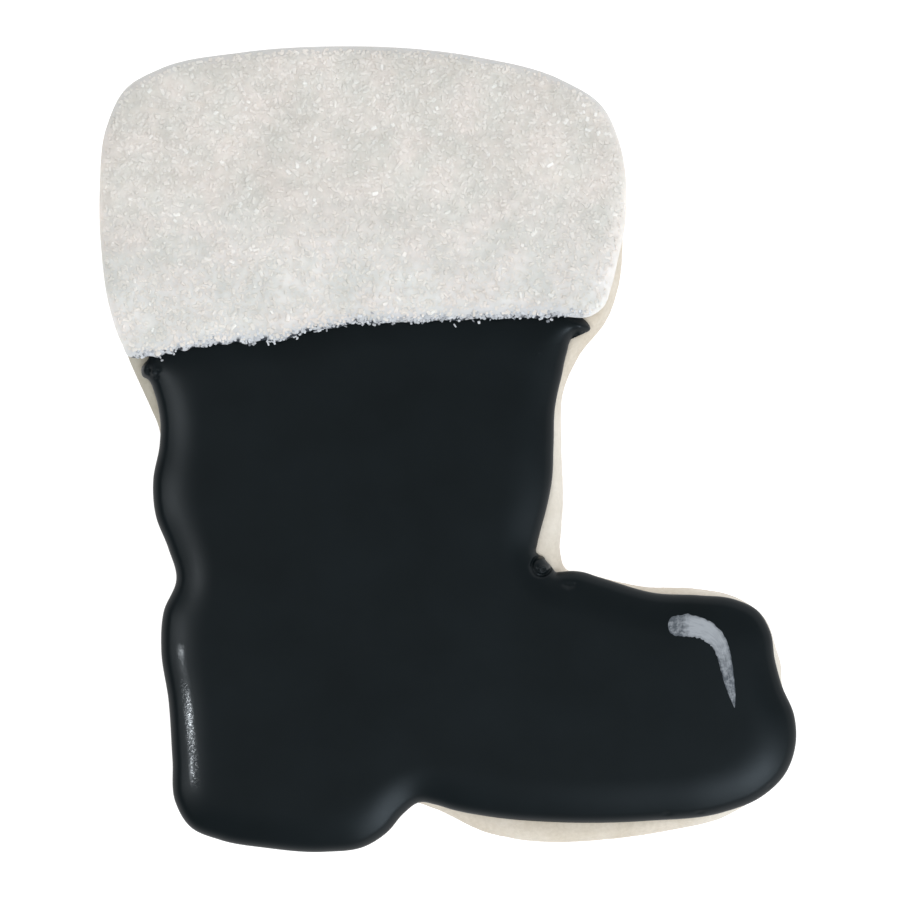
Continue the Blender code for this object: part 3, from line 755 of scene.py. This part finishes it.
caught_at = along_seam(SEAM_GRAINS, SEAM_LIFT, SEAM_SPREAD, random)
spilled_at = along_seam(SPILLED_GRAINS, 0.0, 0.1, random) * SPILL_STRETCH - SPILL_SHIFT
spilled_at[:, 1] -= random.uniform(*SPILL_DOWN, SPILLED_GRAINS)
caught_at = np.concatenate([caught_at, spilled_at])
on_black = ICING_FLOOR + boot_height(caught_at, rim_distance(caught_at, boot_curve))
on_white, edge_slopes = on_cuff(caught_at)
caught_in = inside(caught_at, cuff_curve)
caught_size = random.uniform(*SEAM_SIZES, (len(caught_at), 3)) * SEAM_SHAPE
crystal_at = np.concatenate([crystal_at, caught_at])
height = np.concatenate([height, np.where(caught_in, on_white, on_black)])
slopes = np.concatenate([slopes, np.clip(edge_slopes, -STEEPEST, STEEPEST) * caught_in[:, None]])
long = np.concatenate([long, caught_size[:, 0]])
wide = np.concatenate([wide, caught_size[:, 1:]])
crystal_tone = random.uniform(0, 1, len(crystal_at))
lowest = np.where(caught_in, *LEAST_TONES)
crystal_tone[-len(caught_at) :] = 1 + lowest + (1 - lowest) * crystal_tone[-len(caught_at) :]
crystals = grain_mesh(
    "sugar_crystals", prism(CRYSTAL_PROFILE, CRYSTAL_STATIONS),
    np.column_stack([crystal_at, height + CRYSTAL_SINK * wide.min(axis=1)]), np.column_stack([long, wide]),
    slopes, crystal_tone, random, CRYSTAL_TILT,
)

clear, shader, place = new_finish("coarse_sugar", 0.42)
shader.inputs["Specular IOR Level"].default_value = 0.35
shader.inputs["Subsurface Weight"].default_value = 0.3
shader.inputs["Subsurface Radius"].default_value = (1.0, 0.95, 0.9)
shader.inputs["Subsurface Scale"].default_value = 0.1 * MM
tone = place.node("ShaderNodeAttribute", {"attribute_name": "tone"}, output=2)
# Some grains are painted nearly white: partly whiter crystals, partly painted glints of clear sugar.
bright_and_glinting = (tone + 1.2 * noise(place, 3.0, 2.0)).ramp(1.47, 1.70)
colour = mottled(place, bright_and_glinting.mix(tone.ramp(0.0, 0.8).mix(*SUNKEN), BRIGHT_GLINT_WHITE))
colour = tone.ramp(0.999, 1.001).mix(colour, tone.ramp(1.0, 2.0).mix(*CAUGHT))
place.feed(shader.inputs["Base Color"], colour)
place.feed(shader.inputs["Normal"], relief(noise(place, 0.12, 2.0), 0.004))
crystals.data.materials.append(clear)
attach(crystals, "root")
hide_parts("cuff_icing")

# Fine sugar: the small broken grains of the same sugar, sifted between the crystals.
# Each is a plain little block a fifth to half a millimetre long.
FINE_SEED, FINE_SPACING, FINE_KEPT = 51, 0.50, (0.6, 0.9)
# Their sizes, with the shares in width and depth, their sink as for the crystals, their tones and their tilt.
FINE_SIZES, FINE_SHAPE = (0.2, 0.46), (1.0, 0.85, 0.5)
FINE_SINK, FINE_TONES, FINE_TILT = -0.08, (0.2, 0.75), 0.08
BLOCK_PROFILE = [(1.0, 1.0), (-1.0, 1.0), (-1.0, -1.0), (1.0, -1.0)]
BLOCK_STATIONS = [(-1.0, 1.0), (1.0, 0.9)]

fine_at, random = strewn(cuff_curve, FINE_SPACING, GRAIN_MARGIN, FINE_SEED)
fine_at = thinned(fine_at, random, *FINE_KEPT)
height, slopes = on_cuff(fine_at)
fine_size = random.uniform(*FINE_SIZES, (len(fine_at), 3)) * FINE_SHAPE
fine = grain_mesh(
    "fine_sugar", prism(BLOCK_PROFILE, BLOCK_STATIONS),
    np.column_stack([fine_at, height + FINE_SINK * fine_size.min(axis=1)]), fine_size,
    slopes, random.uniform(*FINE_TONES, len(fine_at)), random, FINE_TILT,
)
fine.data.materials.append(clear)
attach(fine, "root")
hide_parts("cuff_icing")

# Painted highlight: one stroke of thinned white colour brushed on the dry toe, thick round the bend and
# running out to a point. It is a skin a few hundredths of a millimetre proud of the black icing.
STROKE_PATH = [
    (27.4, -22.05, 1.15), (28.4, -22.0, 1.25), (29.4, -22.0, 1.3), (30.4, -22.05, 1.3), (31.4, -22.3, 1.27),
    (32.4, -22.75, 1.2), (33.3, -23.5, 1.12), (33.95, -24.45, 0.95), (34.3, -25.45, 0.86),
    (34.55, -26.45, 0.81), (34.8, -27.7, 0.75), (35.05, -29.05, 0.64), (35.4, -30.55, 0.44),
    (35.7, -32.2, 0.06),
]
STROKE_STEPS, STROKE_ACROSS = 220, 22
# How far the paint stands above the black, as nearly half an ellipse, and how far it reaches into it.
STROKE_LIFT, STROKE_ROUND, STROKE_SINK = 0.035, 0.999, 0.12
# The length of its round start, and the least share of the width there.
STROKE_START, LEAST_WIDTH = 0.9, 0.02
# A small knob on the upper edge, where the brush was set down twice: how far along, how high and how wide.
STROKE_KNOB = (2.3, 0.16, 0.5)
# How ragged the two edges are: the share of the width, the size along the stroke, and the seed. The lower
# edge's lumps are taken from this far along.
UPPER_WEAR, LOWER_WEAR = [(0.03, 1.2, 61), (0.05, 0.25, 62)], [(0.05, 1.2, 63), (0.08, 0.25, 64)]
LOWER_SHIFT = 40
# The paint where it is thick and where it is thin.
PAINT_SHADES = ((0.33, 0.345, 0.365), (0.07, 0.08, 0.092))
# It is worn at its start and down its tail: this fades out, then sets in, between these lengths along it.
HEAD_WORN, TAIL_WORN = (0.6, 1.9), (5.5, 11.5)


def open_curve(corners, count):
    """A curve through the corners with the same cubic stretches as an outline, at even steps."""
    points = np.array(corners, float)
    length = np.concatenate([[0.0], np.cumsum(np.linalg.norm(np.diff(points[:, :2], axis=0), axis=1))])
    slope = np.gradient(points, length, axis=0)
    place = np.linspace(0, length[-1], count)
    k = np.clip(np.searchsorted(length, place) - 1, 0, len(length) - 2)
    span = (length[k + 1] - length[k])[:, None]
    t = (place - length[k])[:, None] / span
    curve = (2 * t**3 - 3 * t**2 + 1) * points[k] + (t**3 - 2 * t**2 + t) * span * slope[k]
    curve += (3 * t**2 - 2 * t**3) * points[k + 1] + (t**3 - t**2) * span * slope[k + 1]
    return curve, place


stroke_line, stroke_place = open_curve(STROKE_PATH, STROKE_STEPS)
way = np.gradient(stroke_line[:, :2], axis=0)
way /= np.linalg.norm(way, axis=1, keepdims=True)
sideways = np.stack([-way[:, 1], way[:, 0]], axis=1)
ragged = np.stack([stroke_place, np.zeros(STROKE_STEPS), np.zeros(STROKE_STEPS)], axis=1)
round_end = np.sqrt(1 - (1 - np.clip(stroke_place / STROKE_START, 0, 1)) ** 2)
half = stroke_line[:, 2] * np.maximum(round_end, LEAST_WIDTH)
knob_at, knob_height, knob_width = STROKE_KNOB
knob = knob_height * np.exp(-(((stroke_place - knob_at) / knob_width) ** 2))
upper_wear = sum(share * lumps(ragged, size, seed) for share, size, seed in UPPER_WEAR)
lower_wear = sum(share * lumps(ragged + LOWER_SHIFT, size, seed) for share, size, seed in LOWER_WEAR)
upper_half = half * (1 + upper_wear) + knob
lower_half = half * (1 + lower_wear)
across = np.linspace(-1, 1, STROKE_ACROSS)
reach = np.where(across[:, None] > 0, upper_half, lower_half) * across[:, None]
stroke_xy = stroke_line[:, :2] + sideways * reach[..., None]
ground = ICING_FLOOR + boot_height(stroke_xy, rim_distance(stroke_xy, boot_curve))
skin = STROKE_LIFT * np.sqrt(1 - across[:, None] ** 2 * STROKE_ROUND)
top = np.concatenate([stroke_xy, (ground + skin)[..., None]], axis=2)
low = np.concatenate([stroke_xy, (ground - STROKE_SINK)[..., None]], axis=2)[::-1]
loop = np.concatenate([top, low], axis=0).transpose(1, 0, 2)
sides = loop.shape[1]
here = np.arange(STROKE_STEPS - 1)[:, None] * sides + np.arange(sides)
beside = np.arange(STROKE_STEPS - 1)[:, None] * sides + np.roll(np.arange(sides), -1)
quads = np.stack([here, beside, beside + sides, here + sides], axis=2).reshape(-1, 4).tolist()
caps = [list(range(sides)), list(range((STROKE_STEPS - 1) * sides, STROKE_STEPS * sides))]
mesh = bpy.data.meshes.new("painted_highlight")
mesh.from_pydata((loop.reshape(-1, 3) * MM).tolist(), [], quads + caps)
spread = np.concatenate([across, across[::-1]])
along_stroke = np.stack(np.broadcast_arrays(stroke_place[:, None], spread[None, :]), axis=2).reshape(-1, 2)
corner = np.empty(len(mesh.loops), np.int32)
mesh.loops.foreach_get("vertex_index", corner)
mesh.uv_layers.new(name="stroke").data.foreach_set("uv", along_stroke[corner].ravel())
work = bmesh.new()
work.from_mesh(mesh)
bmesh.ops.recalc_face_normals(work, faces=work.faces)
work.to_mesh(mesh)
work.free()
mesh.shade_smooth()
stroke = scene_object("painted_highlight", mesh)

paint, shader, place = new_finish("pale_paint", 0.5)
brushed = place.node("ShaderNodeUVMap", {"uv_map": "stroke"})
streak = place.node("ShaderNodeMapping", Vector=brushed, Scale=(0.35, 3.0, 1.0))
streak = place.node("ShaderNodeTexNoise", Vector=streak, Scale=1.6, Detail=4.0, Roughness=0.6)
run = brushed.part(0)
side = brushed.part(1)
speckle = noise(place, 0.5, 3.0, 0.65).ramp(0.36, 0.64)
head = 1 - (run - 1.8 * noise(place, 0.6, 2.0)).ramp(*HEAD_WORN)
worn = head * (0.40 + 0.75 * speckle) + run.ramp(*TAIL_WORN) * (0.40 + 0.7 * speckle)
faded = (side * side).ramp(0.45, 1.0) * (0.3 + 0.4 * speckle)
thin = (worn + faded + streak.ramp(0.35, 0.75) * 0.45 - 0.14).ramp(0.0, 1.0)
place.feed(shader.inputs["Base Color"], thin.mix(*PAINT_SHADES))
place.feed(shader.inputs["Normal"], relief(streak, 0.02))
stroke.data.materials.append(paint)
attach(stroke, "root")
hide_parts("toe_highlight")

# Table and light: a plain white table in a soft tent. The tent is pale low down and towards the toe side,
# dim towards the heel side and above, and a little lighter at the very top. Soft lamps stand over the heel
# and the toe, and a wide one over the middle.
# Half the table's side and how far it lies below the cookie, in metres, then its two whites, how wide their
# patches are in millimetres, and its own glow.
TABLE_HALF, TABLE_DROP = 2.0, 0.00002
TABLE_WHITES, TABLE_PATCH, TABLE_GLOW = (0.4, 0.42), 400.0, 0.85
# The tent's brightness low down, in its dim part and straight above, then of its pale side.
TENT_LOW, TENT_DIM, TENT_TOP, TENT_PALE = 1.0, 0.04, 0.26, 0.85
# How far up, as the sine of the height, low down ends, straight above starts and the pale side ends.
LOW_EDGE, TOP_EDGE, PALE_EDGE = (0.2, 0.55), (0.94, 0.98), (0.66, 0.88)
# Which way the pale side lies, and the part of that direction at which it starts and is complete.
PALE_WAY, PALE_REACH = (0.8, 0.1), (-0.7, 0.5)
# Off toe and sole the tent glows brighter low down: the same two values for that way, and how much.
GLOW_WAY, GLOW_REACH, TENT_GLOW = (0.7, -0.72), (0.70, 0.98), 0.9
# Beyond the cuff it is a little lighter: how much, and between which parts of that direction this sets in.
TENT_NORTH, NORTH_REACH = 0.24, (0.1, 0.5)
TENT_COLOUR = (0.9, 0.95, 1.0, 1.0)
LAMPS = {
    "heel_lamp": {"from": (-0.425, -0.05, 0.84), "size": 0.085, "watts": 0.94, "colour": (0.88, 0.95, 1.0)},
    "toe_lamp": {"from": (0.345, -0.385, 0.86), "size": 0.32, "watts": 2.5, "colour": (0.74, 0.88, 1.0)},
    "fill_lamp": {"from": (0.0, -0.12, 0.95), "size": 1.0, "watts": 4.3, "colour": (1.0, 0.965, 0.93)},
}

mesh = bpy.data.meshes.new("table")
sheet = [(x * TABLE_HALF, y * TABLE_HALF, -TABLE_DROP) for x, y in ((-1, -1), (1, -1), (1, 1), (-1, 1))]
mesh.from_pydata(sheet, [], [(0, 1, 2, 3)])
table = scene_object("table", mesh)
table_top, shader, place = new_finish("white_table", 0.9)
table_shades = [(value, value, value) for value in TABLE_WHITES]
place.feed(shader.inputs["Base Color"], noise(place, TABLE_PATCH).mix(*table_shades))
shader.inputs["Specular IOR Level"].default_value = 0.0
shader.inputs["Emission Color"].default_value = (1, 1, 1, 1)
shader.inputs["Emission Strength"].default_value = TABLE_GLOW
table.data.materials.append(table_top)

tent = bpy.data.worlds.new("tent")
bpy.context.scene.world = tent
tent.use_nodes = True
sky = Socket(tent.node_tree).node("ShaderNodeTexCoord", output=0)
east, north, up = sky.part(0), sky.part(1), sky.part(2)
turned = (PALE_WAY[0] * east + PALE_WAY[1] * north).ramp(*PALE_REACH)
glow = TENT_DIM + TENT_TOP * up.ramp(*TOP_EDGE) + TENT_NORTH * north.ramp(*NORTH_REACH)
glow = glow + TENT_GLOW * (GLOW_WAY[0] * east + GLOW_WAY[1] * north).ramp(*GLOW_REACH)
glow = glow + TENT_LOW * (1 - up.ramp(*LOW_EDGE)) * (1 - turned)
glow = glow + TENT_PALE * (1 - up.ramp(*PALE_EDGE)) * turned
backdrop = tent.node_tree.nodes["Background"]
backdrop.inputs["Color"].default_value = TENT_COLOUR
sky.feed(backdrop.inputs["Strength"], glow)

# The wide fill lamp only lights the cookie evenly, and isn't mirrored in the icing.
for name, lamp in LAMPS.items():
    light = bpy.data.lights.new(name, "AREA")
    light.shape = "DISK"
    light.size = lamp["size"]
    light.energy = lamp["watts"]
    light.color = lamp["colour"]
    holder = scene_object(name, light)
    holder.location = lamp["from"]
    holder.visible_glossy = name != "fill_lamp"
    aim = -np.array(lamp["from"])
    holder.rotation_euler = (
        np.arctan2(np.hypot(aim[0], aim[1]), -aim[2]), 0.0, np.arctan2(aim[1], aim[0]) - np.pi / 2
    )

# Camera: straight above the cookie, as in the photograph, with the whole cookie filling the square frame.
LENS, SENSOR = 200.0, 36.0
VIEW_WIDTH = 112.5 * MM
VIEW_CENTRE = (0.1875 * MM, -0.0625 * MM)
FOCUS_HEIGHT = 8.2 * MM

camera_data = bpy.data.cameras.new("camera")
camera_data.lens = LENS
camera_data.sensor_width = SENSOR
camera_data.clip_start = 0.01
camera = scene_object("camera", camera_data)
camera.location = (*VIEW_CENTRE, FOCUS_HEIGHT + VIEW_WIDTH * LENS / SENSOR)
bpy.context.scene.camera = camera
bpy.context.scene.view_settings.view_transform = "Standard"
